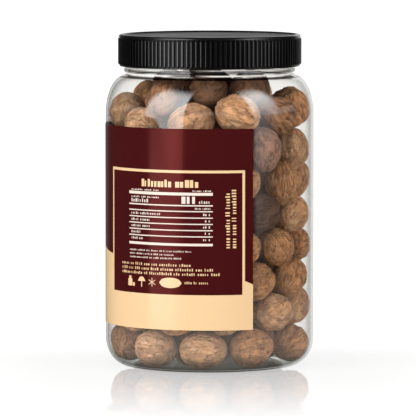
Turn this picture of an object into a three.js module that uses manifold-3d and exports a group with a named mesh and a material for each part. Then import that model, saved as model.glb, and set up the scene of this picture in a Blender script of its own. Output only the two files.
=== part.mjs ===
// A full jar of whole nutmegs: a clear wide-mouth jar, its ribbed screw lid,
// a label wrapped most of the way round, and the heap of nutmegs inside.
// Millimetres, +Z up, origin at the middle of the base, the label's front towards -Y.

import * as THREE from 'three';
import { mergeVertices } from 'three/addons/utils/BufferGeometryUtils.js';
import Module from 'manifold-3d';

const wasm = await Module();
wasm.setup();

// Jar
const jarRadius = 59;            // outside of the straight wall
const wall = 1;
const neckRadius = 47.7;
const neckWall = 1.4;
const neckTop = 185;
const heelRise = 16;             // height of the rounded bottom edge
const footRadius = 46;           // the ring that the jar stands on
const footWidth = 2.5;
const puntRise = 3;              // how far the middle of the base is pushed up
const shoulderStart = 143;       // where the straight wall ends
const shoulderRise = 22;
const bead = { low: 166.6, high: 169, proud: 0.9 };  // the ring under the lid
const jarSides = 48;

// Lid
const lidRadius = 52;
const lidBottom = 170;
const lidTop = 188;
const lidEdge = 1.6;             // rounding of the top rim
const lidPanelRadius = 48.6;     // the sunk panel inside the top rim
const lidPanelDrop = 0.8;
const lidInnerRadius = 50.1;
const lidUnderside = 185.5;
const ribCount = 120;
const ribDepth = 0.8;
const ribBottom = 170.8;
const ribTop = 186.2;
const lidSides = 48;

// Label
const labelGap = 0.45;           // clears the corners of the many-sided wall
const labelThickness = 0.3;
const labelBottom = 25;
const labelTop = 137.5;
const labelEnd = 24;             // degrees right of the front
const labelSweep = 250;          // degrees, from its end to the left and round the back
const labelSides = 34;

// Nutmegs
const nutClearance = 0.6;        // between the nutmegs and the jar
const nutLength = { least: 22.5, most: 27.5 };
const nutWidth = { least: 20, most: 22.5 };
const coreRadius = 39;
const coreBottom = 9;
const coreTop = 146;
const coreDome = 9;
const nutSink = 5;               // how deep a nutmeg may sit in the core
const nutSides = 7;
const closest = 0.88;            // nearest that a new nutmeg may start to another, in widths
const rows = { first: 12.5, pitch: 19.6, count: 8, perRow: 11 };
const crown = [                  // the nutmegs on top: degrees round, height, distance from the axis
  [5, 158.5, 33], [42, 157, 35], [73, 157, 23], [150, 157, 30], [-165, 157, 32],
  [-125, 156, 27], [-66, 156, 20], [15, 159, 10], [175, 159, 10],
];
const heapTop = 168.5;
const settlingRounds = 160;
const seed = 4127;

// Nutmegs that show beside, above and under the label:
// degrees round the jar from the front, height, lean of the long axis, length, width.
const placedNuts = [
  [-84, 12, 75, 25, 20], [-42, 12.5, 15, 26, 22], [-5, 12.5, 0, 27, 22],
  [31, 13, 5, 26, 22.5], [81, 13, 70, 25, 21],
  [-60, 31, 0, 24, 20], [-23, 30.5, 0, 25, 21], [11, 32, 60, 23, 20],
  [49, 33, 0, 25, 21.5], [84, 34.5, 70, 24, 20],
  [33, 51.5, 20, 24, 21], [73, 52, 65, 26, 20],
  [22, 69.5, 10, 24, 21], [52, 70, -60, 23, 20], [88, 68, 40, 22.5, 20],
  [38, 88, 50, 24, 21], [79, 86, 75, 24, 20.5],
  [22, 106, 30, 24, 21.5], [58, 105, 85, 25, 19.5], [94, 106, 60, 23, 20.5],
  [40, 125, 85, 26, 21], [78, 124.5, 70, 25, 20.5],
  [-13, 140.5, 15, 27.5, 23], [19.5, 145, -10, 26.5, 22.5], [54, 143.5, -35, 25, 21],
  [-84, 144, 50, 24, 21], [-51, 139, 30, 24.5, 21.5], [-37.5, 153, 85, 24, 17.5],
  [86, 146, -50, 25, 21.5], [112, 144.5, 10, 24, 20], [-133, 149, 60, 23, 20],
];

const degrees = Math.PI / 180;
const innerRadius = jarRadius - wall;
const neckInner = neckRadius - neckWall;

// Points on a quarter ellipse, from one angle to another.
function arc(centreR, centreZ, radiusR, radiusZ, from, to, steps) {
  const points = [];
  for (let i = 0; i <= steps; i++) {
    const angle = (from + ((to - from) * i) / steps) * degrees;
    points.push([centreR + radiusR * Math.cos(angle), centreZ + radiusZ * Math.sin(angle)]);
  }
  return points;
}

// A shallow dome or dish between the axis and a ring, listed from the axis outwards.
function dome(edgeRadius, edgeZ, rise, steps) {
  const points = [];
  for (let i = 0; i <= steps; i++) {
    const share = i / steps;
    points.push([edgeRadius * share, edgeZ + rise * (1 - share * share)]);
  }
  return points;
}

function onCircle(radius, angle) {
  return new THREE.Vector2(radius * Math.cos(angle * degrees), radius * Math.sin(angle * degrees));
}

function spin(profile, sides) {
  const points = profile.map(([r, z]) => new THREE.Vector2(r, z));
  const geometry = new THREE.LatheGeometry(points, sides);
  geometry.rotateX(Math.PI / 2);
  return geometry;
}

// Shared corners are merged, and the empty triangles at the poles dropped.
function toSolid(geometry) {
  const bare = geometry.clone();
  bare.deleteAttribute('normal');
  bare.deleteAttribute('uv');
  const merged = mergeVertices(bare, 1e-4);
  const corners = merged.index.array;
  const kept = [];
  for (let i = 0; i < corners.length; i += 3) {
    const [a, b, c] = corners.slice(i, i + 3);
    if (a !== b && b !== c && c !== a) kept.push(a, b, c);
  }
  return new wasm.Manifold(new wasm.Mesh({
    numProp: 3,
    vertProperties: new Float32Array(merged.attributes.position.array),
    triVerts: new Uint32Array(kept),
  }));
}

function toGeometry(solid) {
  const mesh = solid.getMesh();
  const geometry = new THREE.BufferGeometry();
  geometry.setAttribute('position', new THREE.BufferAttribute(mesh.vertProperties, 3));
  geometry.setIndex(new THREE.BufferAttribute(mesh.triVerts, 1));
  return geometry;
}

// Fusing can seal a hollow or leave a scrap: the one outer body is kept.
function largestBody(solid) {
  const bodies = solid.decompose();
  return bodies.reduce((best, body) => (body.volume() > best.volume() ? body : best));
}

function jarGeometry() {
  const outside = [
    ...dome(footRadius - footWidth, 0, puntRise, 3),
    ...arc(footRadius, heelRise, jarRadius - footRadius, heelRise, -90, 0, 5),
    ...arc(neckRadius, shoulderStart, jarRadius - neckRadius, shoulderRise, 0, 90, 7),
    [neckRadius, bead.low],
    [neckRadius + bead.proud, bead.low + 0.4],
    [neckRadius + bead.proud, bead.high - 0.4],
    [neckRadius, bead.high],
    [neckRadius, neckTop],
  ];
  const inside = [
    [neckInner, neckTop],
    ...arc(neckInner, shoulderStart, innerRadius - neckInner, shoulderRise - wall, 90, 0, 6),
    ...arc(footRadius, heelRise, innerRadius - footRadius, heelRise - wall, 0, -90, 4),
    ...dome(footRadius, wall, puntRise + 0.5, 3).reverse().slice(1),
  ];
  return spin([...outside, ...inside], jarSides);
}

function lidGeometry() {
  const skirt = lidRadius - ribDepth;
  const shell = spin([
    [0, lidUnderside],
    [lidInnerRadius, lidUnderside],
    [lidInnerRadius, lidBottom],
    [skirt, lidBottom],
    [skirt, ribTop],
    ...arc(lidRadius - lidEdge - 0.2, lidTop - lidEdge, lidEdge, lidEdge, 0, 90, 3),
    [lidPanelRadius + 0.5, lidTop],
    [lidPanelRadius, lidTop - lidPanelDrop],
    [0, lidTop - lidPanelDrop],
  ], lidSides);

  const crests = [];
  for (let i = 0; i < 2 * ribCount; i++) {
    crests.push(onCircle(i % 2 ? lidRadius : skirt + 0.1, (180 * i) / ribCount));
  }
  const bore = [];
  for (let i = 0; i < lidSides; i++) {
    bore.push(onCircle((lidInnerRadius + skirt) / 2, (-360 * i) / lidSides));
  }
  const outline = new THREE.Shape(crests);
  outline.holes.push(new THREE.Path(bore));
  const ribs = new THREE.ExtrudeGeometry(outline, {
    depth: ribTop + 0.2 - ribBottom,
    bevelEnabled: false,
  });
  ribs.translate(0, 0, ribBottom);
  return toGeometry(toSolid(shell).add(toSolid(ribs)));
}

function labelGeometry() {
  const inner = jarRadius + labelGap;
  const outer = inner + labelThickness;
  const outside = [];
  const inside = [];
  for (let i = 0; i <= labelSides; i++) {
    const angle = labelEnd - 90 - labelSweep * (1 - i / labelSides);
    outside.push(onCircle(outer, angle));
    inside.unshift(onCircle(inner, angle));
  }
  const geometry = new THREE.ExtrudeGeometry(new THREE.Shape([...outside, ...inside]), {
    depth: labelTop - labelBottom,
    bevelEnabled: false,
  });
  geometry.translate(0, 0, labelBottom);
  return geometry;
}

let randomState = seed;
function random(least, most) {
  randomState = (randomState * 16807) % 2147483647;
  return least + (most - least) * (randomState / 2147483647);
}

// A nutmeg is held as two balls of its own width, set apart along its axis.
function makeNut(turn, height, fromAxis, lean, length, width, weight) {
  const angle = turn * degrees;
  const outward = new THREE.Vector3(Math.sin(angle), -Math.cos(angle), 0);
  const sideways = new THREE.Vector3(Math.cos(angle), Math.sin(angle), 0);
  const centre = outward.clone().multiplyScalar(fromAxis).setZ(height);
  const axis = sideways.multiplyScalar(Math.cos(lean * degrees));
  axis.z = Math.sin(lean * degrees);
  const apart = (length - width) / 2;
  return {
    ends: [centre.clone().addScaledVector(axis, apart), centre.clone().addScaledVector(axis, -apart)],
    radius: width / 2,
    apart,
    ease: 1 / weight,
  };
}

function layOutNuts() {
  const nuts = [];
  const againstWall = (width) => innerRadius - nutClearance - width / 2;
  for (const [turn, height, lean, length, width] of placedNuts) {
    nuts.push(makeNut(turn, height, againstWall(width), lean, length, width, 10));
  }
  const addFree = (turn, height, fromAxis) => {
    const length = random(nutLength.least, nutLength.most);
    const width = random(nutWidth.least, nutWidth.most);
    const lean = random(-90, 90);
    const nut = makeNut(turn, height, Math.min(fromAxis, againstWall(width)), lean, length, width, 1);
    const centre = middle(nut);
    if (nuts.every((other) => middle(other).distanceTo(centre) > closest * width)) nuts.push(nut);
  };
  for (let row = 0; row < rows.count; row++) {
    for (let i = 0; i < rows.perRow; i++) {
      const turn = ((i + (row % 2) / 2) * 360) / rows.perRow + random(-3, 3);
      addFree(turn, rows.first + row * rows.pitch, innerRadius);
    }
  }
  for (const [turn, height, fromAxis] of crown) addFree(turn, height, fromAxis);
  return nuts;
}

function middle(nut) {
  return nut.ends[0].clone().add(nut.ends[1]).multiplyScalar(0.5);
}

// Rings on the curved parts of the inner wall, which the nutmegs are pushed off.
const curvedWall = [
  ...arc(footRadius, heelRise, innerRadius - footRadius, heelRise - wall, 0, -90, 6),
  ...arc(neckInner, shoulderStart, innerRadius - neckInner, shoulderRise - wall, 0, 90, 8),
];

// Each ball stays in the jar and mostly out of the core.
function keepInside(ball, radius) {
  const before = Math.hypot(ball.x, ball.y);
  const reach = radius + nutClearance;
  const outOfCore = radius - nutSink;
  let fromAxis = Math.min(before, innerRadius - reach);
  if (fromAxis < coreRadius) ball.z = Math.max(ball.z, coreTop + outOfCore);
  else if (ball.z < coreTop) fromAxis = Math.max(fromAxis, coreRadius + outOfCore);
  ball.z = Math.min(Math.max(ball.z, wall + reach), heapTop - radius);
  for (const [ringRadius, ringZ] of curvedWall) {
    const across = fromAxis - ringRadius;
    const up = ball.z - ringZ;
    const distance = Math.hypot(across, up);
    if (distance < reach) {
      fromAxis = ringRadius + (across * reach) / distance;
      ball.z = ringZ + (up * reach) / distance;
    }
  }
  ball.x *= fromAxis / before;
  ball.y *= fromAxis / before;
}

function pushApart(a, b) {
  const reach = a.radius + b.radius;
  for (const p of a.ends) {
    for (const q of b.ends) {
      const step = new THREE.Vector3().subVectors(p, q);
      const distance = step.length();
      if (distance >= reach) continue;
      step.multiplyScalar((reach - distance) / distance / (a.ease + b.ease) / 2);
      p.addScaledVector(step, a.ease);
      q.addScaledVector(step, -b.ease);
    }
  }
}

function holdLength(nut) {
  const [p, q] = nut.ends;
  const step = new THREE.Vector3().subVectors(p, q);
  const distance = Math.max(step.length(), 1e-6);
  step.multiplyScalar((nut.apart * 2 - distance) / distance / 2);
  p.add(step);
  q.sub(step);
}

function settle(nuts) {
  for (let round = 0; round < settlingRounds; round++) {
    for (let i = 0; i < nuts.length; i++) {
      for (let j = i + 1; j < nuts.length; j++) {
        if (Math.abs(nuts[i].ends[0].z - nuts[j].ends[0].z) < 32) pushApart(nuts[i], nuts[j]);
      }
    }
    for (const nut of nuts) {
      holdLength(nut);
      for (const ball of nut.ends) keepInside(ball, nut.radius);
    }
  }
}

function nutGeometry(nut) {
  const geometry = new THREE.SphereGeometry(1, nutSides, 5);
  const length = nut.apart + nut.radius;
  geometry.scale(nut.radius, length, nut.radius);
  const axis = new THREE.Vector3().subVectors(nut.ends[0], nut.ends[1]).normalize();
  geometry.applyQuaternion(new THREE.Quaternion().setFromUnitVectors(new THREE.Vector3(0, 1, 0), axis));
  const centre = middle(nut);
  geometry.translate(centre.x, centre.y, centre.z);
  return geometry;
}

function heapGeometry() {
  const core = spin([
    [0, coreBottom],
    [coreRadius, coreBottom],
    ...dome(coreRadius, coreTop, coreDome, 3).reverse(),
  ], 24);
  const nuts = layOutNuts();
  settle(nuts);
  const pieces = nuts.map((nut) => toSolid(nutGeometry(nut)));
  const heap = wasm.Manifold.union([toSolid(core), ...pieces]);
  return toGeometry(largestBody(heap));
}

const part = new THREE.Group();

function add(name, geometry, look) {
  const mesh = new THREE.Mesh(geometry, new THREE.MeshStandardMaterial(look));
  mesh.name = name;
  part.add(mesh);
}

add('jar', jarGeometry(), { color: 0xe9ecea, roughness: 0.05, metalness: 0, transparent: true, opacity: 0.3 });
add('lid', lidGeometry(), { color: 0x161616, roughness: 0.35, metalness: 0 });
add('label', labelGeometry(), { color: 0x4b1515, roughness: 0.35, metalness: 0 });
add('nutmegs', heapGeometry(), { color: 0xa87c5c, roughness: 0.8, metalness: 0 });

export default part;
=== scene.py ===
import math
import random

import bpy
import numpy as np
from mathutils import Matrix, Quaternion, Vector


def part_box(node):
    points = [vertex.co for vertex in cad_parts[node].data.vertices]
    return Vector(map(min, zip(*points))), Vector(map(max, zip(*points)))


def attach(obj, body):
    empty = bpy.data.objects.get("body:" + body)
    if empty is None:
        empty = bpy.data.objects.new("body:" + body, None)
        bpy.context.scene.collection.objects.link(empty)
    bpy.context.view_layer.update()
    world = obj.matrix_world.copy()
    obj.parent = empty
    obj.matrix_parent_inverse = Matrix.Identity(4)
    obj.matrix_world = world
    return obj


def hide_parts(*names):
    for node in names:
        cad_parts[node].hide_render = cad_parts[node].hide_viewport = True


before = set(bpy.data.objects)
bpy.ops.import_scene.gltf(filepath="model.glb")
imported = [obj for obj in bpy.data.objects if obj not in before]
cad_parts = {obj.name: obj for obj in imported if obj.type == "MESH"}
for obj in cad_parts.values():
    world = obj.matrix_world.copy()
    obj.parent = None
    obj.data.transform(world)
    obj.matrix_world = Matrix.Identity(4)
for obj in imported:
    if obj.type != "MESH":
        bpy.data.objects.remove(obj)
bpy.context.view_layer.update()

# A full jar of whole nutmegs: clear jar, black ribbed lid, dark red label and the nutmegs.
# Lengths in the dictionaries are millimetres and angles are degrees; meshes are made in metres.

mm = 0.001
tiny = 1e-6
white = (1, 1, 1, 1)
jarLow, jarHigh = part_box("jar")
lidLow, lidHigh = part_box("lid")
labelLow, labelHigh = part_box("label")
jarRadius = (jarHigh.y - jarLow.y) / 2 / mm
neckTop = jarHigh.z / mm
lidRadius = (lidHigh.x - lidLow.x) / 2 / mm
lidBottom, lidTop = lidLow.z / mm, lidHigh.z / mm
labelBottom, labelTop = labelLow.z / mm, labelHigh.z / mm

jarShape = {
    "wall": 1.0,
    "neckRadius": 47.7,
    "neckWall": 1.4,
    "heelRise": 16,        # height of the rounded bottom edge
    "footRadius": 46,
    "footWidth": 2.5,
    "puntRise": 3,         # how far the middle of the base is pushed up
    "shoulderStart": 143,
    "shoulderRise": 22,
    "beadLow": 166.6,      # the ring under the lid
    "beadHigh": 169.0,
    "beadProud": 0.9,
    "sides": 224,
}
innerRadius = jarRadius - jarShape["wall"]
neckInner = jarShape["neckRadius"] - jarShape["neckWall"]


def linear(red, green, blue):
    # screen colour 0..255 to the renderer's own scale
    def one(value):
        share = value / 255
        return share / 12.92 if share <= 0.04045 else ((share + 0.055) / 1.055) ** 2.4
    return (one(red), one(green), one(blue), 1.0)


def node(tree, kind, inputs=None, give=0, **settings):
    # adds a shader node and gives one of its outputs. inputs maps a socket's name or number
    # to a value or to another node's output
    made = tree.nodes.new("ShaderNode" + kind)
    for name, value in settings.items():
        setattr(made, name, value)
    for name, value in (inputs or {}).items():
        if isinstance(value, bpy.types.NodeSocket):
            tree.links.new(value, made.inputs[name])
        else:
            made.inputs[name].default_value = value
    return made.outputs[give] if made.outputs else None


def split(tree, vector):
    made = tree.nodes.new("ShaderNodeSeparateXYZ")
    tree.links.new(vector, made.inputs[0])
    return list(made.outputs)


def startMaterial(name):
    material = bpy.data.materials.new(name)
    material.use_nodes = True
    material.node_tree.nodes.clear()
    return material, material.node_tree


def endMaterial(tree, shader):
    node(tree, "OutputMaterial", {"Surface": shader})


def mixColour(tree, share, first, second):
    return node(tree, "Mix", {0: share, 6: first, 7: second}, 2, data_type="RGBA")


def layered(tree, colour, layers):
    # lays each (share, colour) over the one before
    for share, second in layers:
        colour = mixColour(tree, share, colour, second)
    return colour


def mixNumber(tree, share, first, second):
    return node(tree, "Mix", {0: share, 2: first, 3: second}, data_type="FLOAT")


def mixShader(tree, share, first, second):
    return node(tree, "MixShader", {0: share, 1: first, 2: second})


def maths(tree, operation, first, second=0.0):
    return node(tree, "Math", {0: first, 1: second}, operation=operation)


def times(tree, first, second):
    return maths(tree, "MULTIPLY", first, second)


def band(tree, value, low, high, toLow=0.0, toHigh=1.0):
    # eases from toLow to toHigh while the value goes from low to high
    return node(tree, "MapRange", {0: value, 1: low, 2: high, 3: toLow, 4: toHigh},
                interpolation_type="SMOOTHSTEP")


def noise(tree, vector, scale, detail):
    return node(tree, "TexNoise", {"Vector": vector, "Scale": scale, "Detail": detail})


def bumpFrom(tree, height, strength, depth):
    return node(tree, "Bump", {"Height": height, "Strength": strength, "Distance": depth})


def evenMaterial(name, values, shared):
    # an even colour with faint mottling, slightly uneven gloss and a fine grain
    values = {**shared, **values}
    plain = linear(*values["colour"])
    mottled = linear(*[c * values["mottle"] for c in values["colour"]])
    material, tree = startMaterial(name)
    place = node(tree, "TexCoord", give="Object")
    cloud = noise(tree, place, *values["cloud"])
    shader = node(tree, "BsdfPrincipled", {
        "Base Color": mixColour(tree, band(tree, cloud, *values["patches"]), plain, mottled),
        "Roughness": band(tree, cloud, *values["dullPatches"], *values["roughness"]),
        "Specular IOR Level": values["gloss"],
        "Specular Tint": values["sheen"],
        "Normal": bumpFrom(tree, noise(tree, place, *values["fine"]), *values["grain"]),
    })
    endMaterial(tree, shader)
    return material


def metres(lengths):
    return [length * mm for length in lengths]


def addThing(name, data):
    thing = bpy.data.objects.new(name, data)
    bpy.context.scene.collection.objects.link(thing)
    return thing


def addMesh(name, points, polygons, materials, smooth=True):
    # points in millimetres; polygons is a list of whole-number arrays, one array for each corner count
    mesh = bpy.data.meshes.new(name)
    points = np.asarray(points, float) * mm
    mesh.vertices.add(len(points))
    mesh.vertices.foreach_set("co", points.ravel())
    corners = np.concatenate([np.asarray(block).ravel() for block in polygons])
    counts = np.concatenate([np.full(len(block), np.asarray(block).shape[1]) for block in polygons])
    mesh.loops.add(len(corners))
    mesh.loops.foreach_set("vertex_index", corners)
    mesh.polygons.add(len(counts))
    mesh.polygons.foreach_set("loop_start", np.concatenate([[0], np.cumsum(counts)[:-1]]))
    mesh.polygons.foreach_set("loop_total", counts)
    mesh.polygons.foreach_set("use_smooth", np.full(len(counts), smooth))
    mesh.update(calc_edges=True)
    mesh.validate()
    for material in materials:
        mesh.materials.append(material)
    return addThing(name, mesh)


def arc(centreR, centreZ, radiusR, radiusZ, start, end, steps):
    angles = np.radians(np.linspace(start, end, steps + 1))
    return [(centreR + radiusR * math.cos(a), centreZ + radiusZ * math.sin(a)) for a in angles]


def spin(profile, sides, pull=None):
    # turns a profile of (radius, height) round the axis; a radius of 0 becomes one point.
    # pull(row, angles) may change a row's radii, as for ribs
    angles = np.linspace(0, 2 * math.pi, sides, endpoint=False)
    points, starts, quads, triangles = [], [], [], []
    for row, (radius, height) in enumerate(profile):
        starts.append(sum(len(block) for block in points))
        if radius < tiny:
            points.append(np.array([[0.0, 0.0, height]]))
            continue
        radii = np.full(sides, radius) if pull is None else pull(row, angles)
        ring = np.stack([radii * np.cos(angles), radii * np.sin(angles), np.full(sides, height)], 1)
        points.append(ring)
    here = np.arange(sides)
    after = (here + 1) % sides
    for row in range(len(profile) - 1):
        low, high = starts[row], starts[row + 1]
        if len(points[row]) == 1:
            triangles.append(np.stack([np.full(sides, low), high + after, high + here], 1))
        elif len(points[row + 1]) == 1:
            triangles.append(np.stack([low + here, low + after, np.full(sides, high)], 1))
        else:
            quads.append(np.stack([low + here, low + after, high + after, high + here], 1))
    blocks = [np.concatenate(quads)]
    if triangles:
        blocks.append(np.concatenate(triangles))
    return np.concatenate(points), blocks


def standFor(thing, nodeName):
    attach(thing, "root")
    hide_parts(nodeName)


cameraPlace = {
    "away": 2850,          # along -Y
    "height": 305,
    "aimX": -1.0,
    "aimZ": 89.1,
    "seenWidth": 236.3,    # what the camera takes in at the jar's axis
    "sensor": 36,
}


def makeCamera(place):
    data = bpy.data.cameras.new("camera")
    camera = addThing("camera", data)
    aim = Vector((place["aimX"], 0, place["aimZ"]))
    camera.location = Vector((place["aimX"], -place["away"], place["height"])) * mm
    toAim = aim * mm - camera.location
    camera.rotation_euler = toAim.to_track_quat("-Z", "Y").to_euler()
    data.sensor_width = place["sensor"]
    data.lens = place["sensor"] * toAim.length / (place["seenWidth"] * mm)
    data.clip_start = 0.05
    bpy.context.scene.camera = camera


makeCamera(cameraPlace)
print("camera placed")


studio = {
    "floorWidth": 20000,
    "floorColour": (244, 243, 240),
    "floorRoughness": 0.05,
    "floorMirror": 0.5,            # mirrored share of the floor at the jar
    "mirrorAhead": (-375, -55),    # it grows between these in front of the jar's axis,
    "mirrorBehind": (20, 120),     # fades between these behind it
    "mirrorAside": (70, 190),      # and between these at its sides
    "grazing": (0.855, 0.9),       # and the floor mirrors only at a low slant
    "floorShade": 0.22,            # share of the floor that takes shadows
    "floorGlow": 1.11,
    "whiteBehind": (60, 500),      # the floor turns to plain white between these
    "backdrop": 1.05,
    "soft": 0.55,                  # light from all round
    "behind": 1.1,                 # what gloss mirrors from behind the jar
    "behindLeft": 0.16,            # and from behind it on the left
    "leftToRight": (-0.12, 0.02),  # where the one turns into the other
    "behindFrom": (0.75, 0.97),
    "ahead": 0.03,                 # what gloss mirrors from in front
    "lowGlow": 0.85,               # what the floor mirrors from low down, where it would look grey
    "lowFrom": (0.03, 0.05),
    "lowTo": (0.13, 0.16),
    "lowSides": (0.2, 0.5),        # the low glow stands at the two sides,
    "lowBack": (0.975, 0.99),      # straight behind
    "lowFront": (-0.97, -0.9),     # and straight in front, where it has this share
    "lowFrontShare": 0.6,
}

softBoxes = {
    # place, aim (or else the jar's middle), size across and up, and radiance. Those with a fade light
    # gloss alone, the rest matt surfaces alone. fade: how much of the left, right, bottom and top edge
    # goes soft, and least is what the bottom edge keeps
    "leftBox": {"place": (-850, -750, 330), "size": (700, 1000), "bright": 4.7},
    "rightBox": {"place": (950, -500, 300), "size": (600, 900), "bright": 2.5},
    "frontBox": {"place": (-150, -1500, 160), "aim": (0, 0, 60), "size": (900, 600), "bright": 3.1},
    "topBox": {"place": (-100, -350, 1200), "size": (900, 900), "bright": 1.6},
    "leftGlint": {"place": (-731, -667, 775), "aim": (0, 0, 775), "size": (900, 1400), "bright": 5.8,
                  "fade": (0.12, 0.05, 0.3, 0.5), "least": 0.6, "roll": -8},
    "leftLow": {"place": (-747, -650, -10), "aim": (0, 0, -10), "size": (790, 170), "bright": 2.85,
                "fade": (0.14, 0.42, 0.35, 0.01)},
    "rightGlint": {"place": (857, -495, 700), "aim": (0, 0, 700), "size": (720, 1500), "bright": 7.0,
                   "fade": (0.08, 0.3, 0.5, 0.5), "roll": 15},
}


def makeSoftBox(name, box):
    forGloss = "fade" in box
    data = bpy.data.lights.new(name, "AREA")
    data.shape = "RECTANGLE"
    data.size, data.size_y = metres(box["size"])
    data.energy = box["bright"] * math.pi * data.size * data.size_y
    light = addThing(name, data)
    light.location = Vector(box["place"]) * mm
    toAim = Vector(box.get("aim", (0, 0, 90))) * mm - light.location
    roll = Quaternion((0, 0, 1), math.radians(box.get("roll", 0)))
    light.rotation_euler = (toAim.to_track_quat("-Z", "Y") @ roll).to_euler()
    light.visible_camera = False
    light.visible_glossy = forGloss
    light.visible_diffuse = not forGloss
    if forGloss:
        softenEdges(data, *box["fade"], box.get("least", 0))


def softenEdges(data, left, right, bottom, top, least):
    # left and right are as seen in the jar
    data.use_nodes = True
    tree = data.node_tree
    tree.nodes.clear()
    across, up, _ = split(tree, node(tree, "NewGeometry", give="Parametric"))
    strength = times(tree, band(tree, across, 0.0, left), band(tree, across, 1 - right, 1.0, 1.0, 0.0))
    height = times(tree, band(tree, up, 0.0, bottom, least), band(tree, up, 1 - top, 1.0, 1.0, 0.0))
    glow = node(tree, "Emission", {"Strength": times(tree, strength, height)})
    node(tree, "OutputLight", {"Surface": glow})


def makeSurroundings(values):
    world = bpy.data.worlds.new("studio")
    world.use_nodes = True
    tree = world.node_tree
    tree.nodes.clear()
    x, y, z = split(tree, node(tree, "TexCoord", give="Generated"))
    side = band(tree, x, *values["leftToRight"], values["behindLeft"], values["behind"])
    mirrored = times(tree, band(tree, y, *values["behindFrom"]), side)
    mirrored = maths(tree, "MAXIMUM", mirrored, values["ahead"])
    rising = band(tree, z, *values["lowFrom"])
    falling = band(tree, z, *values["lowTo"], 1.0, 0.0)
    sides = band(tree, maths(tree, "ABSOLUTE", y), *values["lowSides"], 1.0, 0.0)
    ends = maths(tree, "MAXIMUM", sides, band(tree, y, *values["lowBack"]))
    front = band(tree, y, *values["lowFront"], values["lowFrontShare"], 0.0)
    ends = maths(tree, "MAXIMUM", ends, front)
    low = times(tree, times(tree, rising, falling), ends)
    mirrored = mixNumber(tree, low, mirrored, values["lowGlow"])
    strength = mixNumber(tree, node(tree, "LightPath", give="Is Glossy Ray"), values["soft"], mirrored)
    strength = mixNumber(tree, node(tree, "LightPath", give="Is Camera Ray"), strength, values["backdrop"])
    light = node(tree, "Background", {"Color": white, "Strength": strength})
    node(tree, "OutputWorld", {"Surface": light})
    bpy.context.scene.world = world


def makeFloor(values):
    half = values["floorWidth"] / 2
    corners = [(-half, -half, 0), (half, -half, 0), (half, half, 0), (-half, half, 0)]
    material, tree = startMaterial("floorSheen")
    aside, back, _ = split(tree, node(tree, "TexCoord", give="Object"))
    aside = maths(tree, "ABSOLUTE", aside)
    slant = node(tree, "LayerWeight", {"Blend": 0.5}, "Facing")
    matt = node(tree, "BsdfDiffuse", {"Color": linear(*values["floorColour"])})
    glow = node(tree, "Emission", {"Color": white, "Strength": values["floorGlow"]})
    shade = band(tree, back, *metres(values["whiteBehind"]), values["floorShade"], 0.0)
    ground = mixShader(tree, shade, glow, matt)
    mirror = node(tree, "BsdfGlossy", {"Color": white, "Roughness": values["floorRoughness"]})
    share = band(tree, back, *metres(values["mirrorAhead"]), 0.0, values["floorMirror"])
    share = times(tree, share, band(tree, back, *metres(values["mirrorBehind"]), 1.0, 0.0))
    share = times(tree, share, band(tree, aside, *metres(values["mirrorAside"]), 1.0, 0.0))
    share = times(tree, share, band(tree, slant, *values["grazing"]))
    endMaterial(tree, mixShader(tree, share, ground, mirror))
    floor = addMesh("floor", corners, [np.array([[0, 1, 2, 3]])], [material], smooth=False)
    floor.visible_glossy = False    # the clear wall would mirror it as a white haze


makeSurroundings(studio)
makeFloor(studio)
for boxName, box in softBoxes.items():
    makeSoftBox(boxName, box)
scene = bpy.context.scene
scene.view_settings.view_transform = "Standard"
scene.cycles.transparent_max_bounces = 24
scene.cycles.use_denoising = True
print("studio lit")


clearPlastic = {
    "faceOn": (252, 252, 251),     # light through the wall, seen square on
    "edgeOn": (217, 216, 212),     # and at a slant
    "slanted": (0.6, 1.0),
    "least": 0.04,                 # share mirrored square on
    "rise": 6.5,                   # how late the share climbs towards the edge
    "roughness": 0.035,
    "wave": (0.12, 0.002),         # unevenness of the blown wall: strength and depth in metres
    "waveScale": 38,
    # painted lines on the neck's thick rings, standing in for light there: white ones for the bright
    # refraction and reflection, dark ones for the dark refraction between them and the shade under the neck's
    # root: bottom, top, strength
    "paleRings": [(168.9, 169.4, 0.55), (165.8, 166.5, 0.8)],
    "darkRings": [(167.2, 168.3, 0.55), (163.9, 165.0, 0.75)],
    "paleColour": (222, 220, 216),
    "darkColour": (92, 86, 80),
    "ringEdge": (0.25, 0.15),      # how far their edges fade outwards and inwards
    "patchScale": 42,              # how finely they come and go round the neck
    "palePatches": (0.36, 0.56),
    "darkPatches": (0.2, 0.4),
    "baseShade": 0.6,              # the bottom is darker, partly the thick plastic's own tint, partly painted shade for the nutmegs' shadow seen through it,
    "baseFade": (2, 12),           # and clears between these heights
    "baseColour": (174, 178, 173),
    "footShade": 0.9,              # the lowest edge gets a painted dark line, standing in for the shade and refraction at the foot
    "footFade": (0.8, 1.3),
    "footColour": (84, 86, 83),
    "haze": 0.034,                 # the lower wall is a little milky
    "hazeFade": (14, 62),
}


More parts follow.
